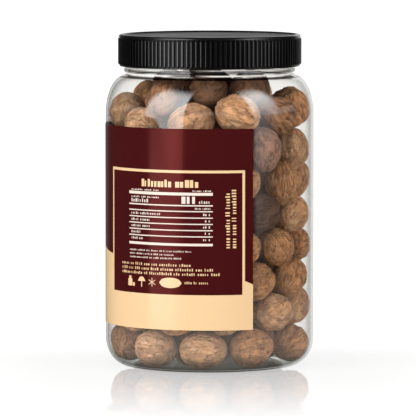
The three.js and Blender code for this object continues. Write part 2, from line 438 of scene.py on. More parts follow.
def clearMaterial(values):
    material, tree = startMaterial("clearPlastic")
    place = node(tree, "TexCoord", give="Object")
    up = split(tree, place)[2]
    slant = node(tree, "LayerWeight", {"Blend": 0.5}, "Facing")
    patches = noise(tree, place, values["patchScale"], 1)

    def ringsAt(rings, patchy):
        total = 0.0
        out, into = values["ringEdge"]
        for bottom, top, strength in values[rings]:
            rising = band(tree, up, *metres((bottom - out, bottom + into)))
            falling = band(tree, up, *metres((top - into, top + out)), strength, 0.0)
            total = maths(tree, "MAXIMUM", total, times(tree, rising, falling))
        return times(tree, total, band(tree, patches, *values[patchy]))

    def fromBelow(fade, most):
        return band(tree, up, *metres(values[fade]), values[most], 0.0)

    # the base, foot and dark ring layers dim the light through the wall as painted shade, the base also as
    # the thick plastic's own tint
    through = layered(tree, linear(*values["faceOn"]), (
        (band(tree, slant, *values["slanted"]), linear(*values["edgeOn"])),
        (fromBelow("baseFade", "baseShade"), linear(*values["baseColour"])),
        (fromBelow("footFade", "footShade"), linear(*values["footColour"])),
        (ringsAt("darkRings", "darkPatches"), linear(*values["darkColour"]))))
    passing = node(tree, "BsdfTransparent", {"Color": through})
    swell = noise(tree, place, values["waveScale"], 1.5)
    mirror = node(tree, "BsdfGlossy", {
        "Color": white,
        "Roughness": values["roughness"],
        "Normal": bumpFrom(tree, swell, *values["wave"]),
    })
    share = times(tree, maths(tree, "POWER", slant, values["rise"]), 1 - values["least"])
    share = maths(tree, "ADD", share, values["least"])
    clear = mixShader(tree, share, passing, mirror)
    # a lit whitish finish: on the pale rings it is painted reflection, in the haze it is the lower wall's own
    # milkiness
    lit = node(tree, "BsdfDiffuse", {"Color": linear(*values["paleColour"])})
    glowing = node(tree, "BsdfTranslucent", {"Color": linear(*values["paleColour"])})
    solid = node(tree, "AddShader", {0: lit, 1: glowing})
    hazeAndPaintedRings = maths(tree, "MAXIMUM", ringsAt("paleRings", "palePatches"), fromBelow("hazeFade", "haze"))
    endMaterial(tree, mixShader(tree, hazeAndPaintedRings, clear, solid))
    return material


def makeJar(shape):
    foot, neck = shape["footRadius"], shape["neckRadius"]
    heel, rise = shape["heelRise"], shape["shoulderRise"]
    shoulder, wall = shape["shoulderStart"], shape["wall"]
    low, high, proud = shape["beadLow"], shape["beadHigh"], shape["beadProud"]
    half = (high - low) / 2
    ring = foot - shape["footWidth"]

    def punt(edge, edgeZ, lift, steps):
        return [(edge * i / steps, edgeZ + lift * (1 - (i / steps) ** 2)) for i in range(steps + 1)]

    outside = (
        punt(ring - 0.5, 0.12, shape["puntRise"], 12)
        + [(ring, 0), (foot, 0)]
        + arc(foot, heel, jarRadius - foot, heel, -88, 0, 18)
        + [(jarRadius, heel + (shoulder - heel) * i / 6) for i in range(1, 6)]
        + arc(neck, shoulder, jarRadius - neck, rise, 0, 88, 26)
        + [(neck, shoulder + rise + 0.4)]
        + arc(neck, low + half, proud, half, -90, 90, 10)
        + [(neck, high + 0.4), (neck, neckTop - 0.4), (neck - 0.3, neckTop)]
    )
    inside = (
        [(neckInner + 0.3, neckTop), (neckInner, neckTop - 0.4), (neckInner, shoulder + rise + 0.2)]
        + arc(neckInner, shoulder, innerRadius - neckInner, rise - wall, 88, 0, 26)
        + [(innerRadius, heel + (shoulder - heel) * i / 6) for i in range(5, 0, -1)]
        + arc(foot, heel, innerRadius - foot, heel - wall, 0, -90, 18)
        + punt(foot, wall, shape["puntRise"] + 0.5, 12)[-2::-1]
    )
    points, polygons = spin(outside + inside, shape["sides"])
    jar = addMesh("jarShell", points, polygons, [clearMaterial(clearPlastic)])
    jar.visible_glossy = False    # the floor mirrors what is in the jar
    standFor(jar, "jar")


makeJar(jarShape)
print("jar made")


lidShape = {
    "ribCount": 120,
    "ribDepth": 0.8,
    "ribBottom": 170.9,
    "ribTop": 186.1,
    "ribFade": 0.6,        # how soon a rib runs out at its ends
    "crest": (0, 0.94, 1, 1, 1, 0.94, 0, 0, 0, 0, 0, 0),   # height across one rib
    "shadedValley": (0, 5, 6, 7, 8, 9, 10, 11),                  # its steps that get the valley finish, painted shade for the ribs' shadow
    "edge": 1.6,           # rounding of the top rim
    "panelRadius": 48.6,
    "panelDrop": 0.8,
    "innerRadius": 50.1,
    "underside": 185.5,
}

blackPlastic = {
    # colour, how much paler its dusty patches are, roughness from and to, strength and depth of the grain
    "lidPlastic": {"colour": (5, 5, 5), "mottle": 1.6, "roughness": (0.2, 0.26), "gloss": 0.66,
                   "grain": (0.05, 0.0004)},
    "lidPanel": {"colour": (8, 8, 8), "mottle": 1.375, "roughness": (0.42, 0.5), "gloss": 0.3,
                 "grain": (0.2, 0.0004)},
    # painted shade: the valleys are darker and less glossy, standing in for the shadow the ribs cast into
    # them
    "lidValleyPaintedShade": {"colour": (3, 3, 3), "mottle": 2, "roughness": (0.32, 0.38), "gloss": 0.12,
                  "grain": (0.1, 0.0004)},
}
moulded = {   # scale and detail of the clouds and of the grain, and where the clouds show
    "cloud": (45, 3), "fine": (900, 2), "patches": (0.45, 0.75), "dullPatches": (0.3, 0.7), "sheen": white,
}


def makeLid(shape):
    skirt = lidRadius - shape["ribDepth"]
    low, high, fade = shape["ribBottom"], shape["ribTop"], shape["ribFade"]
    edge, inside, under = shape["edge"], shape["innerRadius"], shape["underside"]
    panel, sunk = shape["panelRadius"], lidTop - shape["panelDrop"]
    sideRows = [low - 0.3, low, low + fade / 2, low + fade]
    sideRows += [low + fade + (high - low - 2 * fade) * i / 8 for i in range(1, 9)]
    sideRows += [high - fade / 2, high, high + 0.2]
    profile = (
        [(0, under), (30, under), (inside - 1, under), (inside, under - 1), (inside, lidBottom + 0.3),
         (inside + 0.25, lidBottom), (skirt - 0.35, lidBottom), (skirt, lidBottom + 0.35)]
        + [(skirt, z) for z in sideRows]
        + arc(lidRadius - edge - 0.35, lidTop - edge, edge, edge, 10, 90, 8)
        + [(panel + 0.8, lidTop), (panel + 0.45, lidTop - 0.1), (panel + 0.1, sunk + 0.1),
           (panel - 0.3, sunk), (24, sunk), (0, sunk)]
    )
    ribbed = [abs(radius - skirt) < tiny and low <= height <= high for radius, height in profile]

    def ribs(row, angles):
        radius, height = profile[row]
        if not ribbed[row]:
            return np.full(len(angles), radius)
        ends = min(1, (height - low) / fade, (high - height) / fade)
        crest = np.tile(shape["crest"], shape["ribCount"])
        return radius + shape["ribDepth"] * crest * math.sqrt(max(ends, 0))

    steps = len(shape["crest"])
    sides = shape["ribCount"] * steps
    points, polygons = spin(profile, sides, ribs)
    lid = addMesh("lidCap", points, polygons, [evenMaterial(name, values, moulded)
                                               for name, values in blackPlastic.items()])
    # ribs keep crisp sides, their valleys get painted shade (darker and less glossy, standing in for the
    # neighbouring ribs' shadow), and the sunk panel has the satin finish
    smooth, finish = [], []
    for row, (radius, height) in enumerate(profile[:-1]):
        if radius < tiny or profile[row + 1][0] < tiny:
            continue
        onRib = ribbed[row] and ribbed[row + 1]
        smooth += [not onRib] * sides
        if onRib:
            finish += [2 if step in shape["shadedValley"] else 0 for step in range(steps)] * shape["ribCount"]
        else:
            finish += [int(height > lidTop - 1 and radius < panel + 0.3)] * sides
    smooth += [True] * (2 * sides)
    finish += [0] * sides + [1] * sides
    lid.data.polygons.foreach_set("use_smooth", smooth)
    lid.data.polygons.foreach_set("material_index", finish)
    standFor(lid, "lid")


makeLid(lidShape)
print("lid made")


labelShape = {
    "end": 24.0,           # degrees right of the front
    "sweep": 250.0,        # to the left from there
    "gap": 0.06,
    "thickness": 0.2,
    "proud": 0.03,         # each layer of print over the one below
    "lift": 0.005,         # and the gap under it
    "step": 1.5,           # degrees between corners round the label
}
labelStart = labelShape["end"] - labelShape["sweep"]
labelFace = jarRadius + labelShape["gap"] + labelShape["thickness"]
arcPerDegree = math.radians(labelFace)   # millimetres round the label for each degree


def wrapBlocks(fields, layer, base=None):
    # fields: (from angle, to angle, low, high), low and high as heights or as functions of the angle.
    # each becomes a thin closed curved sheet; layer 0 is the label itself
    inner = labelFace + (layer - 1) * labelShape["proud"] + labelShape["lift"]
    outer = labelFace + layer * labelShape["proud"]
    if base is not None:
        inner, outer = base
    points, quads, total = [], [], 0
    for start, end, low, high in fields:
        steps = max(1, math.ceil(abs(end - start) / labelShape["step"]))
        angles = np.linspace(start, end, steps + 1)
        lows = np.array([low(a) if callable(low) else low for a in angles])
        highs = np.array([high(a) if callable(high) else high for a in angles])
        turns = np.radians(angles)
        across, ahead = np.sin(turns), -np.cos(turns)
        rings = []
        for radius, heights in ((outer, lows), (outer, highs), (inner, highs), (inner, lows)):
            rings.append(np.stack([across * radius, ahead * radius, heights], 1))
        points.append(np.concatenate(rings))
        count = steps + 1
        here = np.arange(steps)
        for side in range(4):
            first, second = side * count + total, (side + 1) % 4 * count + total
            quads.append(np.stack([first + here, first + here + 1, second + here + 1, second + here], 1))
        ends = np.arange(4) * count + total
        quads.append(np.array([ends[::-1], ends + steps]))
        total += 4 * count
    return np.concatenate(points), [np.concatenate(quads)]


film = {   # the colours of the glossy printed film
    "red": {"colour": (58, 14, 15), "mottle": 1.04, "gloss": 0.38, "sheen": (1, 0.22, 0.2, 1)},
    "cream": {"colour": (217, 183, 140), "mottle": 0.99, "gloss": 0.45, "sheen": white},
    "pale": {"colour": (214, 200, 187), "mottle": 0.99, "gloss": 0.45, "sheen": white},
}
printed = {
    "cloud": (25, 4), "fine": (1300, 2), "patches": (0.3, 0.7), "dullPatches": (0.25, 0.75),
    "roughness": (0.12, 0.15), "grain": (0.05, 0.0002),
}
redFilm, creamFilm, paleFilm = [evenMaterial(ink + "Film", values, printed) for ink, values in film.items()]

wave = {   # the top of the cream field, as (angle, height) from the label's left end to its right end
    "stops": [(-226, 40), (-190, 47), (-150, 66), (-110, 74), (-75, 66.5), (-35, 62), (0, 59),
              (20, 52.2), (24, 50.4)],
}


def waveHeight(angle):
    stops = wave["stops"]
    places = [s[0] for s in stops]
    index = min(max(int(np.searchsorted(places, angle)) - 1, 0), len(stops) - 2)
    (a, za), (b, zb) = stops[index], stops[index + 1]
    zBefore = stops[index - 1] if index else (2 * a - b, 2 * za - zb)
    zAfter = stops[index + 2] if index + 2 < len(stops) else (2 * b - a, 2 * zb - za)
    slopeA = (zb - zBefore[1]) / (b - zBefore[0]) * (b - a)
    slopeB = (zAfter[1] - za) / (zAfter[0] - a) * (b - a)
    t = (angle - a) / (b - a)
    return ((2 * t ** 3 - 3 * t ** 2 + 1) * za + (t ** 3 - 2 * t ** 2 + t) * slopeA
            + (3 * t ** 2 - 2 * t ** 3) * zb + (t ** 3 - t ** 2) * slopeB)


def makePrint(name, fields, layer, material):
    points, polygons = wrapBlocks(fields, layer)
    piece = addMesh(name, points, polygons, [material], smooth=False)
    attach(piece, "root")


def frameFields(left, right, low, high, width):
    side = width / arcPerDegree
    return [(left, right, low, low + width), (left, right, high - width, high),
            (left, left + side, low + width, high - width), (right - side, right, low + width, high - width)]


writing = {   # in pitches of one bar: the gap between groups, and what widths and heights are drawn from
    "gap": 0.7,
    "widths": [0.7, 1.0, 1.0, 1.3],
    "tops": [0.76, 0.76, 1.0],
}


def barRow(length, groups, seed, weight):
    # stand-in for a line of writing: upright bars in groups, as (from, to, top share)
    dice = random.Random(seed)
    pitch = length / (sum(groups) + writing["gap"] * (len(groups) - 1))
    bars, at = [], 0.0
    for count in groups:
        for _ in range(count):
            width = pitch * weight * dice.choice(writing["widths"])
            bars.append((at, at + width, dice.choice(writing["tops"])))
            at += pitch
        at += writing["gap"] * pitch
    return bars


def rowAcross(left, right, low, high, groups, seed=1, weight=0.5):
    # the row along the label
    return [(left + a / arcPerDegree, left + b / arcPerDegree, low, low + (high - low) * top)
            for a, b, top in barRow((right - left) * arcPerDegree, groups, seed, weight)]


def rowUpward(left, right, low, high, groups, seed=1, weight=0.5):
    # and running up it
    return [(right - (right - left) * top, right, low + a, low + b)
            for a, b, top in barRow(high - low, groups, seed, weight)]


def oval(turn, height, across, up):
    def half(angle):
        return up * math.sqrt(max(0.0, 1 - ((angle - turn) * arcPerDegree / across) ** 2)) + 0.01
    reach = across / arcPerDegree
    return (turn - reach, turn + reach, lambda a: height - half(a), lambda a: height + half(a))


facts = {   # the framed panel on the front: angles and heights
    "left": -66.5, "right": 19.3, "low": 43.3, "high": 114.4, "frame": 1.5,
    "tableLeft": -49.4, "tableRight": 1.6,
    "rules": [(100.4, 102.0), (72.2, 73.6), (94.4, 95.1), (91.2, 91.8), (87.6, 88.2), (84.1, 84.7),
              (80.6, 81.2), (77.1, 77.7)],
    # writing: left end, right end, low, high, bars in each group
    "title": [(-39.9, -21.0, 104.8, 109.0, (9,)), (-19.0, -5.3, 104.8, 109.0, (5,))],
    "figure": (-15.4, -6.6, 95.8, 99.8, (3,)),
    "titleWeight": 0.66, "figureWeight": 0.74,    # share of each bar's place that it fills
    "table": [
        (-47.6, -28.1, 102.5, 103.4, (7, 4, 3)), (-9.3, 1.0, 102.5, 103.4, (6, 5)),
        (-47.6, -28.1, 98.5, 99.4, (6, 3, 7)), (-47.6, -35.0, 95.9, 97.9, (8,)),
        (-5.8, 0.6, 95.9, 97.6, (5,)), (-8.0, 0.6, 92.6, 93.6, (5, 6)),
        (-47.6, -27.2, 89.1, 90.4, (5, 12)), (-47.6, -34.0, 85.6, 86.9, (5, 6)),
        (-47.6, -34.0, 82.1, 83.4, (7, 5)), (-47.6, -40.4, 78.6, 79.9, (7,)),
        (-47.6, -38.6, 75.1, 76.4, (5, 3)),
        (-3.6, 0.6, 89.1, 90.4, (2, 1)), (-2.6, 0.6, 85.6, 86.9, (1, 1)),
        (-3.6, 0.6, 82.1, 83.4, (2, 1)), (-2.6, 0.6, 78.6, 79.9, (1, 1)),
        (-3.6, 0.6, 75.1, 76.4, (2, 1)),
        (-48.8, -9.6, 68.6, 69.5, (6, 6, 3, 5, 2, 1, 4, 7, 4)),
        (-48.8, -19.6, 66.6, 67.5, (4, 5, 6, 3, 2, 6)),
        (-48.8, -15.2, 64.6, 65.5, (5, 9, 2, 4, 8, 5)),
    ],
    "lines": [
        (-55.7, -10.0, 60.6, 62.1, (5, 2, 4, 3, 3, 8, 5)),
        (-55.7, 2.5, 58.1, 59.6, (4, 3, 3, 4, 4, 6, 8, 3, 4)),
        (-55.7, 5.9, 55.6, 57.1, (13, 2, 11, 3, 6, 5, 4)), (-13.7, -0.5, 50.9, 52.3, (4, 2, 5)),
    ],
    "upward": [(8.4, 10.9, 71.0, 102.4, (4, 6, 2, 6)), (11.9, 14.4, 71.0, 104.4, (4, 4, 2, 9))],
}

careMarks = {   # plain marks under the writing: a box, a dome on a stick, a star of strokes and an oval
    "box": [(-50.3, -47.0, 48.6, 52.6), (-49.5, -47.8, 52.6, 54.2), (-46.6, -45.1, 48.6, 50.6)],
    "dome": {"turn": -40, "reach": 2.7, "low": 51.6, "rise": 2.6},
    "stick": (-40.3, -39.7, 48.4, 51.6),
    "star": {"turn": -33, "reach": 2.1, "low": 51.1, "width": 0.45, "lean": 0.62},
    "stroke": (-33.2, -32.8, 48.9, 53.7),
    "oval": (-21.9, 51.4, 6.8, 2.9),
}


def markFields(marks):
    dome, star = marks["dome"], marks["star"]

    def domeTop(angle):
        out = (angle - dome["turn"]) / dome["reach"]
        return dome["low"] + 0.02 + dome["rise"] * math.sqrt(max(0, 1 - out ** 2))

    def leaning(height, lean):
        return lambda angle: height + lean * (angle - star["turn"])

    fields = marks["box"] + [
        (dome["turn"] - dome["reach"], dome["turn"] + dome["reach"], dome["low"], domeTop),
        marks["stick"], marks["stroke"]]
    for lean in (star["lean"], -star["lean"]):
        fields.append((star["turn"] - star["reach"], star["turn"] + star["reach"],
                       leaning(star["low"], lean), leaning(star["low"] + star["width"], lean)))
    return fields + [oval(*marks["oval"])]


def makeFacts(values):
    left, right, low, high = values["left"], values["right"], values["low"], values["high"]
    edge = values["frame"]
    side = edge / arcPerDegree
    makePrint("labelPanel", [(left + side, right - side, low + edge, high - edge)], 2, redFilm)
    makePrint("labelFrame", frameFields(left, right, low, high, edge), 2, creamFilm)
    pale = [(values["tableLeft"], values["tableRight"], *rule) for rule in values["rules"]]
    for seed, row in enumerate(values["table"]):
        pale += rowAcross(*row, seed)
    start, end, low, high, groups = values["figure"]
    figure = rowAcross(start, end, low, high, groups, 1, values["figureWeight"])
    pale += [(a, b, low, high) for a, b, _, _ in figure]
    warm = []
    for seed, row in enumerate(values["title"]):
        warm += rowAcross(*row, seed + 40, values["titleWeight"])
    for seed, row in enumerate(values["lines"]):
        warm += rowAcross(*row, seed + 45)
    for seed, row in enumerate(values["upward"]):
        warm += rowUpward(*row, seed + 60)
    warm += markFields(careMarks)
    makePrint("labelTable", pale, 3, paleFilm)
    makePrint("labelWarm", warm, 3, creamFilm)


face = {   # the plain decoration on the side turned away
    "turn": -158, "height": 96, "across": 38, "up": 24, "border": 2.2,
    # bars in the oval, measured from its middle, and the row under it
    "bars": [(24, -1, 8, (7,)), (15, -10, -5.5, (5, 4))],
    "foot": (22, 33, 37, (6, 3, 6)),
}


def makeFace(values):
    turn, height, border = values["turn"], values["height"], values["border"]
    across, up = values["across"], values["up"]
    makePrint("labelOval", [oval(turn, height, across, up)], 2, creamFilm)
    makePrint("labelOvalCore", [oval(turn, height, across - border, up - border)], 3, redFilm)
    bars = []
    for seed, (reach, low, high, groups) in enumerate(values["bars"]):
        bars += rowAcross(turn - reach, turn + reach, height + low, height + high, groups, seed + 70)
    makePrint("labelOvalBars", bars, 4, creamFilm)
    reach, low, high, groups = values["foot"]
    makePrint("labelFoot", rowAcross(turn - reach, turn + reach, low, high, groups, 72), 2, redFilm)


def makeLabel():
    ends = (labelStart, labelShape["end"])
    back = jarRadius + labelShape["gap"]
    points, polygons = wrapBlocks([(*ends, labelBottom, labelTop)], 0, base=(back, labelFace))
    sheet = addMesh("labelFilm", points, polygons, [redFilm], smooth=False)
    standFor(sheet, "label")
    makePrint("labelWave", [(*ends, labelBottom, waveHeight)], 1, creamFilm)
    makeFacts(facts)
    makeFace(face)


makeLabel()
print("label made")


heap = {
    "clearance": 0.6,
    "length": (22.5, 27.5),
    "width": (20, 22.5),
    "coreRadius": 39,      # nutmegs stay out of the solid's core
    "coreTop": 146,
    "sink": 5,             # but for this much
    "closest": 0.88,       # free nutmegs start at least this share of their width apart
    "near": 32,            # only nutmegs nearer than this in height push each other
    "rows": {"first": 12.5, "pitch": 19.6, "count": 8, "perRow": 11, "stray": 3},
    "placedWeight": 10,    # placed nutmegs give way less than free ones
    "kinds": ["tan", "tan", "brown", "brown", "grey"],
    # the nutmegs on top: degrees round, height, distance from the axis, kind
    # the dark kind on top is painted shade, standing in for the lid's shadow over these nutmegs
    "crown": [
        (5, 158.5, 33, "dark"), (42, 157, 35, "dark"), (73, 157, 23, "dark"), (150, 157, 30, "brown"),
        (-165, 157, 32, "brown"), (-125, 156, 27, "dark"), (-66, 156, 20, "dark"),
        (15, 159, 10, "dark"), (175, 159, 10, "brown"),
    ],
    "top": 168.5,
    "rounds": 160,
    "seed": 4127,
}

# degrees round the jar from the front, height, lean of the long axis, length, width, kind
placedNuts = [
    (-84, 12, 75, 25, 20, "brown"), (-42, 12.5, 15, 26, 22, "fair"), (-5, 12.5, 0, 27, 22, "tan"),
    (31, 13, 5, 26, 22.5, "brown"), (81, 13, 70, 25, 21, "brown"),
    (-60, 31, 0, 24, 20, "tan"), (-23, 30.5, 0, 25, 21, "brown"), (11, 32, 60, 23, 20, "tan"),
    (49, 33, 0, 25, 21.5, "tan"), (84, 34.5, 70, 24, 20, "tan"),
    (33, 51.5, 20, 24, 21, "brown"), (73, 52, 65, 26, 20, "brown"),
    (22, 69.5, 10, 24, 21, "brown"), (52, 70, -60, 23, 20, "brown"), (88, 68, 40, 22.5, 20, "brown"),
    (38, 88, 50, 24, 21, "deep"), (79, 86, 75, 24, 20.5, "tan"),
    (22, 106, 30, 24, 21.5, "brown"), (58, 105, 85, 25, 19.5, "brown"), (94, 106, 60, 23, 20.5, "tan"),
    (40, 125, 85, 26, 21, "grey"), (78, 124.5, 70, 25, 20.5, "tan"),
    (-13, 140.5, 15, 27.5, 23, "tan"), (19.5, 145, -10, 26.5, 22.5, "tan"),
    (54, 143.5, -35, 25, 21, "dull"),
    (-84, 144, 50, 24, 21, "fair"), (-51, 139, 30, 24.5, 21.5, "fair"), (-37.5, 153, 85, 24, 17.5, "dull"),
    (86, 146, -50, 25, 21.5, "brown"), (112, 144.5, 10, 24, 20, "brown"), (-133, 149, 60, 23, 20, "brown"),
]


class Dice:
    # the same plain draw as the solid's, so that both heaps agree
    def __init__(self, seed):
        self.state = seed

    def between(self, least, most):
        self.state = (self.state * 16807) % 2147483647
        return least + (most - least) * (self.state / 2147483647)


def makeNut(turn, height, fromAxis, lean, length, width, weight, kind):
    angle, tilt = math.radians(turn), math.radians(lean)
    centre = (math.sin(angle) * fromAxis, -math.cos(angle) * fromAxis, height)
    axis = (math.cos(angle) * math.cos(tilt), math.sin(angle) * math.cos(tilt), math.sin(tilt))
    apart = (length - width) / 2
    ends = [[c + a * apart for c, a in zip(centre, axis)], [c - a * apart for c, a in zip(centre, axis)]]
    return {"ends": ends, "radius": width / 2, "apart": apart, "ease": 1 / weight, "kind": kind}


def middle(nut):
    return [(p + q) / 2 for p, q in zip(*nut["ends"])]


def layOut():
    dice = Dice(heap["seed"])
    kinds = random.Random(11)

    def againstWall(width):
        return innerRadius - heap["clearance"] - width / 2

    nuts = [makeNut(turn, height, againstWall(width), lean, length, width, heap["placedWeight"], kind)
            for turn, height, lean, length, width, kind in placedNuts]

    def addFree(turn, height, fromAxis, given=None):
        length = dice.between(*heap["length"])
        width = dice.between(*heap["width"])
        lean = dice.between(-90, 90)
        kind = kinds.choice(heap["kinds"])
        nut = makeNut(turn, height, min(fromAxis, againstWall(width)), lean, length, width, 1, given or kind)
        if all(math.dist(middle(other), middle(nut)) > heap["closest"] * width for other in nuts):
            nuts.append(nut)

    rows = heap["rows"]
    for row in range(rows["count"]):
        for i in range(rows["perRow"]):
            turn = (i + (row % 2) / 2) * 360 / rows["perRow"] + dice.between(-rows["stray"], rows["stray"])
            addFree(turn, rows["first"] + row * rows["pitch"], innerRadius)
    for turn, height, fromAxis, kind in heap["crown"]:
        addFree(turn, height, fromAxis, kind)
    return nuts


curvedWall = (
    arc(jarShape["footRadius"], jarShape["heelRise"], innerRadius - jarShape["footRadius"],
        jarShape["heelRise"] - jarShape["wall"], 0, -90, 6)
    + arc(neckInner, jarShape["shoulderStart"], innerRadius - neckInner,
          jarShape["shoulderRise"] - jarShape["wall"], 0, 90, 8)
)


def keepInside(ball, radius, inCore=False):
    before = math.hypot(ball[0], ball[1])
    reach = radius + heap["clearance"]
    outOfCore = radius - heap["sink"]
    fromAxis = min(before, innerRadius - reach)
    if not inCore:
        if fromAxis < heap["coreRadius"]:
            ball[2] = max(ball[2], heap["coreTop"] + outOfCore)
        elif ball[2] < heap["coreTop"]:
            fromAxis = max(fromAxis, heap["coreRadius"] + outOfCore)
    ball[2] = min(max(ball[2], jarShape["wall"] + reach), heap["top"] - radius)
    for ringRadius, ringZ in curvedWall:
        across, up = fromAxis - ringRadius, ball[2] - ringZ
        distance = math.hypot(across, up)
        if distance < reach:
            fromAxis = ringRadius + across * reach / distance
            ball[2] = ringZ + up * reach / distance
    ball[0] *= fromAxis / before
    ball[1] *= fromAxis / before


def pushApart(a, b):
    reach = a["radius"] + b["radius"]
    for p in a["ends"]:
        for q in b["ends"]:
            step = [p[0] - q[0], p[1] - q[1], p[2] - q[2]]
            distance = math.sqrt(step[0] ** 2 + step[1] ** 2 + step[2] ** 2)
            if distance >= reach:
                continue
            push = (reach - distance) / distance / (a["ease"] + b["ease"]) / 2
            for k in range(3):
                p[k] += step[k] * push * a["ease"]
                q[k] -= step[k] * push * b["ease"]


def holdLength(nut):
    p, q = nut["ends"]
    distance = max(math.dist(p, q), tiny)
    share = (nut["apart"] * 2 - distance) / distance / 2
    for k in range(3):
        step = (p[k] - q[k]) * share
        p[k] += step
        q[k] -= step


def settle(nuts, rounds, still=0):
    # the first `still` nuts push others but stay put
    for _ in range(rounds):
        for i, nut in enumerate(nuts):
            for other in nuts[max(i + 1, still):]:
                if abs(nut["ends"][0][2] - other["ends"][0][2]) < heap["near"]:
                    pushApart(nut, other)
        for nut in nuts[still:]:
            holdLength(nut)
            for ball in nut["ends"]:
                keepInside(ball, nut["radius"], inCore=still > 0)


outerNuts = layOut()
settle(outerNuts, heap["rounds"])
print("nutmegs laid out:", len(outerNuts))


# the second layer, which shows in the gaps and isn't in the solid
inner = {
    "rings": [(27, 6), (8, 2)],   # distance from the axis, and how many stand there in each row
    "first": 15,
    "pitch": 19.5,
    "rows": 8,
    "stray": 8,
    "closest": 14,                # to the middle of an outer nutmeg
    "rounds": 40,
    "seed": 77,
}


def layOutInner():
    dice = Dice(inner["seed"])
    nuts = []
    for row in range(inner["rows"]):
        for radius, count in inner["rings"]:
            for i in range(count):
                turn = (i + row * 0.5) * 360 / count + dice.between(-inner["stray"], inner["stray"])
                nuts.append(makeNut(turn, inner["first"] + row * inner["pitch"], radius,
                                    dice.between(-90, 90), dice.between(*heap["length"]),
                                    dice.between(*heap["width"]), 1, "inner"))
    return [nut for nut in nuts
            if all(math.dist(middle(nut), middle(other)) > inner["closest"] for other in outerNuts)]


for nut in outerNuts:
    nut["ease"] = 0.0001    # the second layer hardly moves them
innerNuts = layOutInner()
for number, nut in enumerate(outerNuts + innerNuts):
    nut["number"] = number
settle(outerNuts + innerNuts, inner["rounds"], still=len(outerNuts))
print("second layer:", len(innerNuts))


def latticeNoise(points, seed):
    # smooth noise, about 0..1, one cell to a unit
    cell = np.floor(points).astype(np.int64)
    part = points - cell
    part = part * part * (3 - 2 * part)

    def hashed(corner):
        mixed = (corner[:, 0] * 374761393 + corner[:, 1] * 668265263 + corner[:, 2] * 2147483647
                 + seed * 974711) & 0x7FFFFFFF
        mixed = ((mixed ^ (mixed >> 13)) * 1274126177) & 0x7FFFFFFF
        return ((mixed ^ (mixed >> 16)) & 0xFFFF) / 65535

    total = np.zeros(len(points))
    for corner in np.ndindex(2, 2, 2):
        total += np.prod(np.where(corner, part, 1 - part), axis=1) * hashed(cell + corner)
    return total


def toLine(points, seed):
    # rough distance, in cells, to the nearest line where the noise crosses its middle
    here = latticeNoise(points, seed)
    step = 0.05
    slopes = [latticeNoise(points + way * step, seed) - here for way in np.eye(3)]
    steep = np.sqrt(sum(slope ** 2 for slope in slopes)) / step
    return np.abs(here - 0.5) / (steep + 0.25)


nutForm = {
    "around": 84, "along": 48,           # corners of a near nutmeg's mesh
    "innerAround": 32, "innerAlong": 20,
    "egg": 0.06,                         # wider towards one end
    "lumps": 0.05,
    "lumpCells": (1.6, 3.1),
    "warp": 1.1, "warpCells": 2.2,       # how far the furrows wander
    "furrowDepth": 0.34,
    "fineDepth": 0.2,
    "furrowWidth": 0.13,                 # in cells
    "cellsRound": 3.6, "cellsAlong": 1.3,
    "grooveDepth": 0.5, "grooveWidth": 0.16,
    "hilumRadius": 0.34, "hilumRise": 0.35,
    "hilumAim": (0.16, 0.1, 1),          # the scar sits a little off the end, and so does the pit
    "dimpleRadius": 0.13, "dimpleDepth": 0.9,
    "pitRadius": 0.17, "pitDepth": 0.9,
    "pitAim": (-0.1, 0.12, -1),
}


def unit(vector):
    return np.array(vector) / np.linalg.norm(vector)


